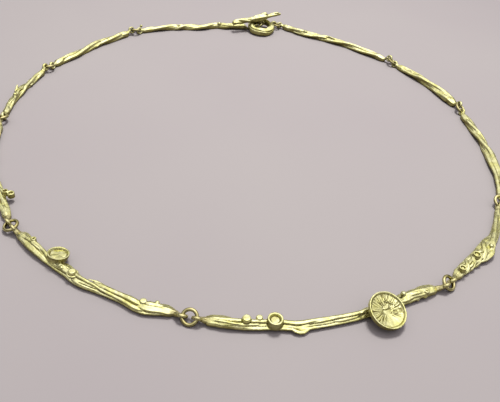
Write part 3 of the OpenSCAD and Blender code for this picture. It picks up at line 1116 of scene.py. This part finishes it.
@dataclass(frozen=True)
class Toggle:
    """Cast ring of fused strands and its crossbar.

    Attributes:
        centre: Middle of the ring's lower strand.
        tilt: Degrees by which the far side and the left side are raised.
        left: The crossbar's left end.
        way: The crossbar's direction.
    """

    VOXEL = 0.11
    RING_R = 4.2
    HOOPS = (
        Hoop(RING_R, 0.0, 1.05, 0.0, 1.0, 0.07),
        Hoop(RING_R - 0.35, 0.95, 0.85, 1.0, 1.0, 0.1),
        Hoop(RING_R - 0.75, 1.2, 0.5, 3.4, 0.55, 0.15),
        Hoop(RING_R + 0.45, 0.6, 0.5, 2.6, 0.45, 0.12),
        Hoop(RING_R + 0.25, 1.15, 0.42, 4.4, 0.4, 0.12),
    )
    # Half thickness of the crossbar at distances from its left end
    PROFILE = (
        (0.0, 0.7), (0.4, 1.0), (3.0, 0.8), (6.0, 0.95), (8.2, 0.95), (9.2, 1.45), (11.6, 1.5),
        (13.4, 1.3), (14.4, 0.75), (17.0, 0.55), (19.6, 0.6), (20.0, 0.35),
    )
    # Strands round it: where they start and end, their half thickness and their first angle
    TWISTS = ((0.1, 14.6, 0.66, 0.0), (0.3, 9.5, 0.6, 2.4), (8.2, 19.3, 0.42, 4.0), (1.4, 8.4, 0.45, 5.0))
    KNOB = (9.0, 14.0)
    KNOB_RISE = 0.5
    TWIST = 0.55
    HOOP_STEPS = 44

    centre: Vector = Vector((-0.5, 69.3, 1.55))
    tilt: tuple[float, float] = (6.0, 3.0)
    left: Vector = Vector((-11.3, 65.7, 3.65))
    way: Vector = Vector((17.9, 9.0, 1.9))

    def ring(self) -> Piece:
        """Models the ring with its eye."""
        parts = [self._hoop(hoop) for hoop in self.HOOPS]
        return self._cast("toggle_ring", parts, wire_eye(TOGGLE_EYE, link_across(TOGGLE_EYE, LAST_EYE)))

    def crossbar(self) -> Piece:
        """Models the crossbar with its knob and eye.

        Returns:
            The crossbar's object.
        """
        way = self.way.normalized()
        level = Vector((way.x, way.y, 0)).normalized()
        across = UP.cross(level)
        parts = [sweep([Ring(self.left + way * s, level, r, r) for s, r in self.PROFILE])]
        for first, final, half, phase in self.TWISTS:
            steps = round((final - first) / TwigBar.STEP)
            rings = []
            for k in range(steps + 1):
                s = first + (final - first) * k / steps
                turn = phase + self.TWIST * s
                middle = self.left + way * s + across * (0.6 * math.cos(turn)) + UP * (0.1 + 0.55 * math.sin(turn))
                if self.KNOB[0] < s < self.KNOB[1]:
                    middle += UP * self.KNOB_RISE
                girth = half * ease(min(k, steps - k) / 2 + 0.3) * (1 + 0.15 * math.sin(2.1 * s))
                rings.append(Ring(middle, level, girth, girth))
            parts.append(sweep(rings))
        return self._cast("toggle_bar", parts, wire_eye(CROSSBAR_EYE, link_across(FIRST_EYE, CROSSBAR_EYE)))

    def _hoop(self, hoop: Hoop) -> Piece:
        """Strand of the ring.

        Args:
            hoop: The strand's line and size.

        Returns:
            The strand.
        """
        start, share, wobble = hoop.start, hoop.share, hoop.wobble
        far, left = (math.radians(a) for a in self.tilt)
        lift = Matrix.Rotation(left, 3, "Y") @ Matrix.Rotation(far, 3, "X")
        steps = round(self.HOOP_STEPS * share)
        rings = []
        for k in range(steps + 1):
            turn = start + 2 * math.pi * share * k / steps
            stray = math.sin(3 * turn + 2 * start) + 0.6 * math.sin(7 * turn + start)
            r = hoop.radius + wobble * stray
            taper = 1.0 if share == 1.0 else ease(min(k, steps - k) / 3 + 0.25)
            girth = hoop.half * taper * (1 + 0.7 * wobble * math.sin(5 * turn + 3 * start))
            rise = hoop.rise + wobble * math.cos(4 * turn)
            place = lift @ Vector((r * math.cos(turn), r * math.sin(turn), rise))
            heading = Vector((-math.sin(turn), math.cos(turn), 0))
            rings.append(Ring(self.centre + place, heading, girth, girth))
        return sweep(rings)

    def _cast(self, name: str, parts: list[Piece], eye: Piece) -> Piece:
        """Fuses a cast part of the clasp with its eye.

        Args:
            name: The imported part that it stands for.
            parts: Its loose shells.
            eye: Its eye.

        Returns:
            The part's object.
        """
        piece = merge(name + "_cast", [*parts, eye])
        fuse(piece, self.VOXEL)
        return piece


def link_across(a: Vector, b: Vector) -> Vector:
    """Level direction across the line between two eyes."""
    return UP.cross(b - a).normalized()


# The necklace

FIRST_EYE = Vector((-2.5, 70.05, 1.2))
CROSSBAR_EYE = Vector((-0.6, 70.75, 2.75))
TOGGLE_EYE = Vector((4.1, 72.7, 2.0))
LAST_EYE = Vector((6.45, 73.8, 1.35))
LINK_WIRE = 0.72

# The first neck leaves its eye downwards, and the last one to the right
FIRST_WAY = UP * -1.15
LAST_WAY = Vector((1, -0.2, 0)).normalized()
CLASP_START = End(FIRST_EYE, link_across(FIRST_EYE, CROSSBAR_EYE), FIRST_EYE + FIRST_WAY * Joint.NECK_REACH)
CLASP_END = End(LAST_EYE, link_across(TOGGLE_EYE, LAST_EYE), LAST_EYE + LAST_WAY * Joint.NECK_REACH)

JOINTS = (
    Joint(129.9, -0.7, 25, 15),
    Joint(161.9, -1.8, 20, 15),
    Joint(188.1, -1.6, 15, 20),
    Joint(225.4, 1.2, 15, 8),
    Joint(264.3, 1.2, 38, 5),
    Joint(311.2, 1.8, 35, -10),
    Joint(340.6, 0.2, 20, 20),
    Joint(379.0, -1.2, 25, 18),
    Joint(407.2, -1.5, 25, 18),
)

# Sections of each bar's body, as rows of Section
SECTIONS = (
    (
        (0, 0, 0.6, 0.6), (0.05, 0, 0.6, 0.6), (0.075, -0.2, 2.5, 2.3), (0.18, -0.5, 2.6, 2.4), (0.26, -0.8, 2.5, 2.3),
        (0.33, -0.5, 2.1, 2.1), (0.45, -1.6, 2.7, 2.2), (0.53, -1.7, 2.6, 2.2), (0.62, -1.4, 2, 2.1),
        (0.78, -0.6, 2.1, 2.1), (0.9, -0.1, 2, 2.1), (1, 0, 1.7, 1.8),
    ),
    (
        (0, -0.1, 2, 1.9), (0.06, -0.3, 2.4, 2.2), (0.2, -0.8, 2.5, 2.1), (0.27, -0.9, 2.5, 2.1), (0.36, -0.6, 2.2, 2),
        (0.47, -0.7, 2.3, 2.1), (0.6, -1.1, 2.3, 2), (0.74, -1.1, 2.5, 2.1), (0.85, -0.6, 2.3, 2.2),
        (0.93, -0.2, 2.2, 2.1), (1, -0.1, 1.9, 1.8),
    ),
    (
        (0, 0, 1.9, 1.9), (0.08, -0.1, 2.1, 1.9), (0.3, -0.1, 2.1, 1.9), (0.45, 0.3, 2.7, 2.1), (0.65, 0.2, 2.3, 2.1),
        (0.9, 0.1, 2.2, 1.9), (1, 0.1, 1.8, 1.8),
    ),
    (
        (0, -0.2, 2, 1.8), (0.08, -0.3, 2.6, 2.1), (0.3, -0.4, 2.6, 2.2), (0.55, -0.6, 2.3, 2.1),
        (0.75, -1.1, 2.6, 2.2), (0.92, -0.9, 2.6, 2.1), (1, -0.6, 2, 1.8),
    ),
    (
        (0, -0.4, 2.1, 1.8), (0.04, -0.7, 2.6, 2.1), (0.15, -0.7, 2.9, 2.4), (0.3, -0.5, 2.5, 2.1),
        (0.4, -0.7, 2.9, 2.4), (0.48, -0.2, 2.9, 2.3), (0.6, -0.6, 2.6, 2.2), (0.72, -0.6, 2.5, 2.1),
        (0.85, -0.1, 3.5, 2.2), (0.95, -0.7, 2.8, 2), (1, -0.7, 1.8, 1.6),
    ),
    (
        (0, -0.4, 2.2, 1.9), (0.04, -0.6, 2.7, 2.2), (0.15, -0.7, 2.9, 2.3), (0.28, -0.9, 2.8, 2.2),
        (0.355, -0.5, 3.2, 2.1), (0.42, -0.8, 2.7, 2.2), (0.55, -1.1, 2.6, 2.1), (0.72, -1.6, 2.7, 2.2),
        (0.82, -2, 3, 2.3), (0.89, -1.9, 3.2, 2.4), (0.93, -1.6, 3.1, 2.4), (0.965, -1.2, 2.7, 2.2),
        (1, -0.8, 1.8, 1.6),
    ),
    (
        (0, -0.3, 1.7, 1.6), (0.06, -0.4, 2.7, 2), (0.2, -0.1, 3.3, 2.4), (0.36, 0.45, 3.8, 2.6), (0.5, 0.8, 4, 2.6),
        (0.57, 0.9, 3.1, 2.3), (0.66, 0.8, 2.6, 2.2), (0.86, 0.3, 2.2, 2), (1, 0.1, 1.7, 1.6),
    ),
    (
        (0, -0.1, 1.8, 1.7), (0.07, -0.3, 2.2, 2), (0.22, -0.4, 2.5, 2.2), (0.38, -0.8, 3, 2.3), (0.5, -0.8, 2.8, 2.2),
        (0.6, -1, 2.6, 2.2), (0.78, -1, 2.8, 2.3), (0.9, -1, 3, 2.3), (1, -0.6, 2.1, 1.9),
    ),
    (
        (0, -0.2, 2.1, 1.9), (0.08, -0.4, 2.9, 2.4), (0.25, -0.3, 2.9, 2.5), (0.45, -0.3, 2.6, 2.4),
        (0.62, -0.3, 2.8, 2.6), (0.72, -0.3, 2.7, 2.3), (0.92, -0.1, 2.4, 2.1), (1, 0, 1.9, 1.8),
    ),
    (
        (0, -0.3, 1.8, 1.7), (0.06, -0.7, 2.4, 2.2), (0.25, -1.5, 2.4, 2.2), (0.4, -1.3, 2.5, 2.3),
        (0.5, -1.8, 2.3, 2.2), (0.6, -1.9, 2.3, 2.3), (0.74, -2.5, 2.4, 2.2), (0.82, -2.2, 2.6, 2.3),
        (0.95, -0.8, 2.4, 2.2), (1, 0, 2, 2.1),
    ),
)


def rope(count: int, rows: Sequence[tuple[float, float, float, float]]) -> tuple:
    """Strands that are twisted round each other.

    Args:
        count: The number of strands.
        rows: The first strand's places.

    Returns:
        The places of each strand, where each is thinner than the one before.
    """
    return tuple(
        tuple((along, angle + 360 * k / count, reach, girth * (1 - 0.1 * k)) for along, angle, reach, girth in rows)
        for k in range(count)
    )


def twigs(seed: int, count: int) -> tuple:
    """Thin ridges of bark, in places that a seed settles.

    Args:
        seed: The seed.
        count: The number of ridges.

    Returns:
        The places of each ridge.
    """
    dice = random.Random(seed)
    ridges = []
    for _ in range(count):
        start, length = dice.uniform(0.02, 0.82), dice.uniform(0.08, 0.2)
        angle, drift = dice.uniform(-40, 220), dice.uniform(-60, 60)
        reach, girth = dice.uniform(0.7, 0.82), dice.uniform(0.14, 0.24)
        ridges.append(
            (
                (start, angle, reach - 0.2, 0.08),
                (start + length * 0.3, angle + drift * 0.3, reach, girth),
                (start + length * 0.7, angle + drift * 0.7, reach, girth),
                (start + length, angle + drift, reach - 0.2, 0.08),
            )
        )
    return tuple(ridges)


# Skins of the bars that don't have the usual one
SKINS = {
    1: Skin(full=1.17),
    2: Skin(full=1.23),
    4: Skin(solder=0.85),
    5: Skin(voxel=0.09, solder=0.85),
    6: Skin(voxel=0.096, solder=0.85),
    7: Skin(voxel=0.08, solder=0.6),
    9: Skin(full=1.2),
    10: Skin(full=1.18),
}

CORE = ((-0.01, 0, 0, 0.7), (0.06, 0, 0, 0.66), (0.94, 0, 0, 0.66), (1.01, 0, 0, 0.7))

# Strands that each bar is fused from, as rows of Lay
STRANDS = {
    1: (
        ((0.068, 0, 0, 0.8), (0.1, 0, 0, 0.8), (0.5, 0, 0, 0.66), (1.01, 0, 0, 0.7)),
        *rope(2, (
            (0.07, -60, 0.2, 0.7), (0.2, -20, 0.4, 0.62), (0.36, 65, 0.4, 0.6), (0.48, 150, 0.4, 0.62),
            (0.61, 245, 0.42, 0.58), (0.75, 425, 0.42, 0.58), (0.9, 520, 0.4, 0.6), (1.01, 560, 0.3, 0.66),
        )),
        ((-0.02, 0, 0, 0.9), (0.05, 0, 0, 0.95), (0.1, 0, 0, 0.5)),
        *twigs(1, 5),
    ),
    2: (
        CORE,
        *rope(3, (
            (-0.01, -60, 0.34, 0.62), (0.2, 0, 0.44, 0.56), (0.5, 90, 0.44, 0.56), (0.8, 180, 0.44, 0.56),
            (1.01, 240, 0.34, 0.62),
        )),
        *twigs(2, 5),
    ),
    3: (
        CORE,
        *rope(3, ((-0.01, 20, 0.4, 0.56), (0.3, 110, 0.5, 0.48), (0.65, 230, 0.5, 0.5), (1.01, 330, 0.4, 0.56))),
        *twigs(3, 5),
    ),
    4: (
        CORE,
        *rope(3, ((-0.01, 0, 0.4, 0.56), (0.3, 110, 0.5, 0.48), (0.6, 260, 0.5, 0.5), (1.01, 420, 0.4, 0.56))),
        *twigs(4, 14),
    ),
    5: (
        (
            (0, 40, 0.1, 0.62), (0.12, 40, 0.1, 0.56), (0.25, 0, 0.1, 0.6), (0.31, 0, 0, 0.74), (0.4, 0, 0, 0.8),
            (0.46, 0, 0, 0.66), (0.52, -60, 0.15, 0.55), (0.58, -60, 0.15, 0.55), (0.64, 0, 0.1, 0.62),
            (0.8, 0, 0.1, 0.6), (0.9, 0, 0, 0.72), (1, 0, 0, 0.7),
        ),
        (
            (0.01, 0, 0.42, 0.52), (0.12, 8, 0.4, 0.6), (0.2, 4, 0.42, 0.56), (0.27, -5, 0.5, 0.44),
            (0.36, -14, 0.62, 0.4), (0.5, -18, 0.64, 0.36), (0.7, -22, 0.66, 0.32), (0.83, -20, 0.62, 0.36),
            (0.95, -10, 0.5, 0.42), (1.01, 0, 0.3, 0.5),
        ),
        (
            (-0.02, 60, 0.3, 0.6), (0.05, 92, 0.58, 0.4), (0.14, 114, 0.7, 0.27), (0.22, 104, 0.64, 0.3),
            (0.29, 62, 0.42, 0.42), (0.4, 52, 0.4, 0.5), (0.45, 55, 0.4, 0.42), (0.48, 50, 0.3, 0.2),
        ),
        ((-0.01, 15, 0.4, 0.5), (0.05, 24, 0.6, 0.4), (0.1, 34, 0.6, 0.26), (0.16, 38, 0.5, 0.12)),
        ((0.09, 76, 0.5, 0.08), (0.13, 80, 0.66, 0.17), (0.17, 84, 0.66, 0.15), (0.22, 86, 0.5, 0.08)),
        (
            (0.43, 100, 0.6, 0.26), (0.5, 88, 0.7, 0.26), (0.56, 72, 0.72, 0.26), (0.62, 48, 0.7, 0.26),
            (0.7, 32, 0.66, 0.3), (0.8, 22, 0.62, 0.32), (0.86, 10, 0.5, 0.26),
        ),
        (
            (0.55, 104, 0.5, 0.14), (0.6, 98, 0.62, 0.36), (0.68, 92, 0.62, 0.42), (0.78, 92, 0.6, 0.4),
            (0.84, 88, 0.5, 0.3),
        ),
        ((0.82, 70, 0.3, 0.36), (0.88, 54, 0.4, 0.56), (0.95, 46, 0.32, 0.64), (1.01, 40, 0.2, 0.6)),
        ((0.84, 110, 0.6, 0.16), (0.88, 110, 0.68, 0.34), (0.93, 112, 0.62, 0.3), (0.97, 110, 0.4, 0.2)),
        ((0.46, 12, 0.6, 0.2), (0.52, 6, 0.68, 0.22), (0.6, -2, 0.66, 0.2), (0.67, -8, 0.5, 0.12)),
        ((0.31, 84, 0.4, 0.2), (0.34, 80, 0.62, 0.4), (0.37, 76, 0.62, 0.38), (0.41, 74, 0.4, 0.2)),
        *twigs(5, 2),
    ),
    6: (
        (
            (0, 0, 0, 0.64), (0.1, 0, 0, 0.6), (0.3, 0, 0, 0.6), (0.4, -90, 0.14, 0.56), (0.6, -90, 0.12, 0.6),
            (0.7, 0, 0, 0.74), (0.9, 0, 0, 0.68), (1.01, 0, 0, 0.7),
        ),
        (
            (-0.01, 86, 0.42, 0.52), (0.05, 86, 0.52, 0.48), (0.075, 90, 0.6, 0.28), (0.15, 92, 0.66, 0.26),
            (0.25, 90, 0.64, 0.28), (0.34, 88, 0.64, 0.32), (0.45, 90, 0.66, 0.32), (0.6, 84, 0.62, 0.34),
            (0.72, 76, 0.42, 0.48), (0.85, 84, 0.5, 0.48), (0.93, 80, 0.5, 0.44), (1.01, 60, 0.2, 0.6),
        ),
        (
            (0, -4, 0.45, 0.5), (0.08, -12, 0.62, 0.38), (0.2, -16, 0.64, 0.36), (0.3, -12, 0.6, 0.36),
            (0.345, -10, 0.5, 0.3), (0.4, -14, 0.68, 0.26), (0.5, -14, 0.68, 0.26), (0.6, -10, 0.62, 0.32),
            (0.7, -4, 0.5, 0.44), (0.85, -12, 0.58, 0.42), (0.95, -8, 0.42, 0.46), (1.01, 0, 0.2, 0.6),
        ),
        (
            (0.325, -4, 0.55, 0.24), (0.345, -10, 0.82, 0.36), (0.363, -18, 0.98, 0.4), (0.38, -14, 0.84, 0.3),
            (0.4, -12, 0.6, 0.2),
        ),
        ((0.01, 66, 0.7, 0.14), (0.05, 62, 0.84, 0.18), (0.11, 50, 0.84, 0.16), (0.15, 44, 0.7, 0.08)),
        ((0.015, 30, 0.7, 0.14), (0.06, 22, 0.84, 0.17), (0.12, 14, 0.82, 0.14), (0.17, 8, 0.7, 0.08)),
        ((0.02, 34, 0.4, 0.3), (0.06, 34, 0.58, 0.38), (0.12, 38, 0.62, 0.3), (0.2, 48, 0.5, 0.14)),
        ((0.48, 24, 0.3, 0.12), (0.53, 30, 0.52, 0.26), (0.58, 34, 0.54, 0.2), (0.63, 38, 0.4, 0.14)),
        (
            (0.78, 40, 0.4, 0.4), (0.84, 34, 0.5, 0.5), (0.87, 44, 0.56, 0.3), (0.91, 36, 0.5, 0.44),
            (0.99, 40, 0.3, 0.4),
        ),
        ((0.83, -20, 0.6, 0.2), (0.85, -22, 0.72, 0.34), (0.87, -20, 0.62, 0.18)),
        ((0.87, -22, 0.6, 0.2), (0.89, -22, 0.74, 0.36), (0.91, -20, 0.62, 0.2)),
        ((0.91, -18, 0.6, 0.2), (0.93, -20, 0.72, 0.34), (0.95, -18, 0.6, 0.2)),
        ((0.84, 74, 0.6, 0.16), (0.87, 70, 0.78, 0.26), (0.9, 64, 0.78, 0.24), (0.93, 60, 0.62, 0.14)),
        *twigs(6, 2),
    ),
    7: (
        CORE,
        *rope(3, (
            (-0.02, 0, 0.42, 0.54), (0.05, 70, 0.5, 0.48), (0.2, 300, 0.5, 0.44), (0.35, 530, 0.5, 0.44),
            (0.5, 650, 0.54, 0.44), (0.7, 700, 0.48, 0.48), (1.01, 740, 0.36, 0.58),
        )),
        (
            (-0.01, 172, 0.3, 0.5), (0.1, 174, 0.44, 0.46), (0.3, 176, 0.46, 0.46), (0.52, 178, 0.44, 0.46),
            (0.62, 170, 0.3, 0.4),
        ),
        (
            (0.28, -12, 0.6, 0.12), (0.34, -6, 0.72, 0.38), (0.4, 2, 0.78, 0.42), (0.45, 8, 0.74, 0.32),
            (0.5, 20, 0.6, 0.14),
        ),
        *twigs(7, 6),
    ),
    8: (
        CORE,
        *rope(3, (
            (-0.01, 10, 0.38, 0.58), (0.15, 30, 0.5, 0.5), (0.45, 60, 0.52, 0.48), (0.65, 140, 0.52, 0.48),
            (0.83, 230, 0.5, 0.5), (1.01, 300, 0.38, 0.58),
        )),
        ((0.3, 190, 0.6, 0.1), (0.42, 200, 0.7, 0.3), (0.55, 215, 0.74, 0.32), (0.62, 220, 0.6, 0.12)),
        *twigs(8, 5),
    ),
    9: (
        CORE,
        *rope(3, (
            (-0.01, 20, 0.38, 0.58), (0.11, 30, 0.5, 0.5), (0.25, 60, 0.52, 0.48), (0.5, 110, 0.54, 0.46),
            (0.8, 170, 0.52, 0.48), (1.01, 210, 0.38, 0.58),
        )),
        ((0.04, 200, 0.5, 0.16), (0.14, 196, 0.66, 0.36), (0.3, 190, 0.7, 0.36), (0.42, 180, 0.6, 0.12)),
        *twigs(9, 5),
    ),
    10: (
        CORE,
        *rope(3, (
            (-0.01, 0, 0.38, 0.58), (0.25, 70, 0.5, 0.5), (0.5, 170, 0.52, 0.48), (0.75, 300, 0.5, 0.5),
            (1.01, 400, 0.38, 0.58),
        )),
        *twigs(10, 6),
    ),
}

# What sits on each bar, as rows of Ornament
ORNAMENTS = {
    1: ((Kind.BALL, 103.7, -2.8, 1.9, 1.3), (Kind.BALL, 127.8, 0, 2.4, 1.1)),
    3: ((Kind.SPUR, 175.7, -0.45, 1.5, 0.8), (Kind.BALL, 178.2, -1.6, 1.9, 1.2)),
    4: ((Kind.BEZEL, 217.7, -2.7, 2, 1.7), (Kind.BEZEL, 216.7, -1.7, 2.2, 1.5)),
    5: (
        (Kind.BEZEL, 231.8, -0.1, 1.9, 1.1), (Kind.CUP, 238, -0.7, 2, 4.85), (Kind.BALL, 240.6, 1.3, 2, 0.9),
        (Kind.BALL, 242.8, 1, 2.1, 1.8), (Kind.COLLAR, 242.8, 1, 1.8, 2.2), (Kind.BALL, 256.3, 0.5, 1.75, 1.6),
        (Kind.BALL, 258.5, -0.3, 1.7, 1),
    ),
    6: (
        (Kind.BALL, 273.3, 0.6, 2.2, 2), (Kind.BALL, 275.4, 0, 2, 1.5), (Kind.BEZEL, 277.9, 0.7, 1.95, 3.3),
        DISH, (Kind.BALL, 301, 0.1, 3, 1.3), (Kind.BEZEL, 305.8, 1.2, 1.6, 1.1),
    ),
    7: (
        (Kind.BEZEL, 315.4, 1.35, 2.15, 1.7), (Kind.BEZEL, 320.5, 1.25, 2.25, 1.9),
        (Kind.BALL, 325.2, 2.4, 2.1, 1.1),
    ),
    10: ((Kind.BALL, 76.4, -1.6, 1.9, 1.5),),
}


@dataclass(frozen=True)
class Necklace:
    """The whole necklace.

    Attributes:
        cast: Material of the cast parts.
        wire: Material of the rings.
    """

    THIN_NECK = 0.31

    cast: bpy.types.Material
    wire: bpy.types.Material

    def build(self) -> None:
        """Builds all pieces and ties them to the parts that they stand for."""
        for number in range(1, len(SECTIONS) + 1):
            self._keep(self._bar(number).build(), f"bar_{number}")
        toggle = Toggle()
        self._keep(toggle.ring(), "toggle_ring")
        self._keep(toggle.crossbar(), "toggle_bar")
        for ring in self._rings():
            self._keep(ring.build(), ring.name, Slot.WIRE)

    def _bar(self, number: int) -> TwigBar:
        """Describes a bar.

        Args:
            number: The bar's number from 1.

        Returns:
            The bar.
        """
        first, final = number == 1, number == len(SECTIONS)
        start = CLASP_START if first else JOINTS[number - 2].end(1)
        end = CLASP_END if final else JOINTS[number - 1].end(-1)
        return TwigBar(
            name=f"bar_{number}",
            way=Way(start, end, tuple(Section(*row) for row in SECTIONS[number - 1])),
            strands=[[Lay(*row) for row in lays] for lays in STRANDS[number]],
            ornaments=[Ornament(*row) for row in ORNAMENTS.get(number, ())],
            skin=SKINS.get(number, Skin()),
            neck=self.THIN_NECK if first else TwigBar.NECK_HALF,
        )

    @staticmethod
    def _rings() -> list[WireRing]:
        """Describes the wire rings.

        Returns:
            The rings, in order.
        """
        rings = []
        for number, joint in enumerate(JOINTS, 1):
            axis = joint.span().cross(joint.across())
            rings.append(WireRing(f"jump_ring_{number}", joint.centre(), axis, Joint.RING_D, Joint.RING_WIRE))
        for number, (a, b) in enumerate(((FIRST_EYE, CROSSBAR_EYE), (TOGGLE_EYE, LAST_EYE)), 1):
            axis = (b - a).cross(link_across(a, b)).normalized()
            rings.append(WireRing(f"clasp_ring_{number}", (a + b) / 2, axis, (b - a).length, LINK_WIRE))
        return rings

    def _keep(self, piece: Piece, node: str, slot: Slot = Slot.CAST) -> None:
        """Ties a new piece to the part that it stands for.

        Args:
            piece: The new piece.
            node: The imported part.
            slot: The slot of its material.
        """
        piece.data.materials.clear()
        piece.data.materials.append(self.wire if slot is Slot.WIRE else self.cast)
        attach(piece, BODY)
        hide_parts(node)
        LOG.info("%s: %d faces", piece.name, len(piece.data.polygons))


@dataclass(frozen=True)
class Studio:
    """Floor, light and camera.

    Attributes:
        eye: The camera's place.
        pitch: Degrees that it looks down.
        roll: Degrees that it is turned about its line of sight.
        lens: Its focal length for a 36 mm sensor.
        lamp: The lamp's place.
        lamp_size: The length of its sides.
        lamp_power: Its power in watts.
    """

    LAMP_COLOUR = (1.0, 0.985, 0.96)
    BOARD_SIZE = 4.0
    BOARD = (0.252, 0.233, 0.231)
    PALER_BOARD = (0.262, 0.245, 0.238)
    # The room's brightness by how far a direction points to its brightest place
    BRIGHTEST = Vector((0.1, 0.15, 0.98))
    BRIGHTNESS = ((0.22, 0.07), (0.42, 0.4), (0.6, 0.84), (0.84, 1.0), (0.96, 2.2))
    ROOM_GREEN = 0.94
    SENSOR = 36.0
    CLIP = (0.01, 20.0)

    eye: Vector = Vector((2.379, -151.348, 99.114))
    pitch: float = 40.0
    roll: float = -6.1
    lens: float = 43.2
    lamp: Vector = Vector((20, 80, 420))
    lamp_size: float = 95
    lamp_power: float = 2.4

    def build(self) -> None:
        """Builds the floor, the light and the camera."""
        self._floor()
        self._world()
        self._light()
        self._camera()

    def _floor(self) -> None:
        """Pale plain surface."""
        deselect_all()
        bpy.ops.mesh.primitive_plane_add(size=self.BOARD_SIZE, location=(0, 0, 0))
        floor = bpy.context.object
        floor.name = "floor"
        graph = Graph(bpy.data.materials.new("pale board"))
        mottle = graph.noise(graph.node("TexCoord").outputs["Object"], 12.0, 2.0)
        colour = graph.ramp(mottle, [(0.3, self.BOARD), (0.7, self.PALER_BOARD)])
        skin = graph.node("BsdfPrincipled", {"Base Color": colour, "Roughness": 0.9, "Specular IOR Level": 0.1})
        graph.node("OutputMaterial", {"Surface": skin.outputs[0]})
        floor.data.materials.append(graph.owner)

    def _world(self) -> None:
        """Room that is bright above and behind, and dim towards the viewer."""
        graph = Graph(bpy.data.worlds.new("room"))
        bpy.context.scene.world = graph.owner
        place = graph.node("TexCoord").outputs["Generated"]
        rise = graph.node("VectorMath", {0: place, 1: self.BRIGHTEST.normalized()}, operation="DOT_PRODUCT")
        stops = [(at, (tone, tone * self.ROOM_GREEN, tone)) for at, tone in self.BRIGHTNESS]
        light = graph.node("Background", {"Color": graph.ramp(rise.outputs["Value"], stops), "Strength": 1.0})
        graph.node("OutputWorld", {"Surface": light.outputs[0]})

    def _light(self) -> None:
        """Square lamp that faces the loop's middle and isn't mirrored in the gold."""
        data = bpy.data.lights.new("key light", "AREA")
        data.energy = self.lamp_power
        data.size = self.lamp_size * MM
        data.color = self.LAMP_COLOUR
        lamp = bpy.data.objects.new("key light", data)
        lamp.location = self.lamp * MM
        lamp.rotation_euler = facing(self.lamp)
        lamp.visible_glossy = False
        bpy.context.scene.collection.objects.link(lamp)

    def _camera(self) -> None:
        """Camera where the photo was taken from."""
        data = bpy.data.cameras.new("camera")
        data.lens = self.lens
        data.sensor_width = self.SENSOR
        data.clip_start, data.clip_end = self.CLIP
        camera = bpy.data.objects.new("camera", data)
        down = Matrix.Rotation(math.radians(90 - self.pitch), 4, "X")
        camera.matrix_world = (
            Matrix.Translation(self.eye * MM) @ down @ Matrix.Rotation(math.radians(-self.roll), 4, "Z")
        )
        bpy.context.scene.collection.objects.link(camera)
        bpy.context.scene.camera = camera


def main() -> None:
    """Builds the necklace and its studio."""
    logging.basicConfig(level=logging.INFO, format="%(message)s")
    Necklace(CAST_GOLD.material(), WIRE_GOLD.material()).build()
    Studio().build()
    bpy.context.scene.view_settings.view_transform = "Standard"


if __name__ == "__main__":
    main()
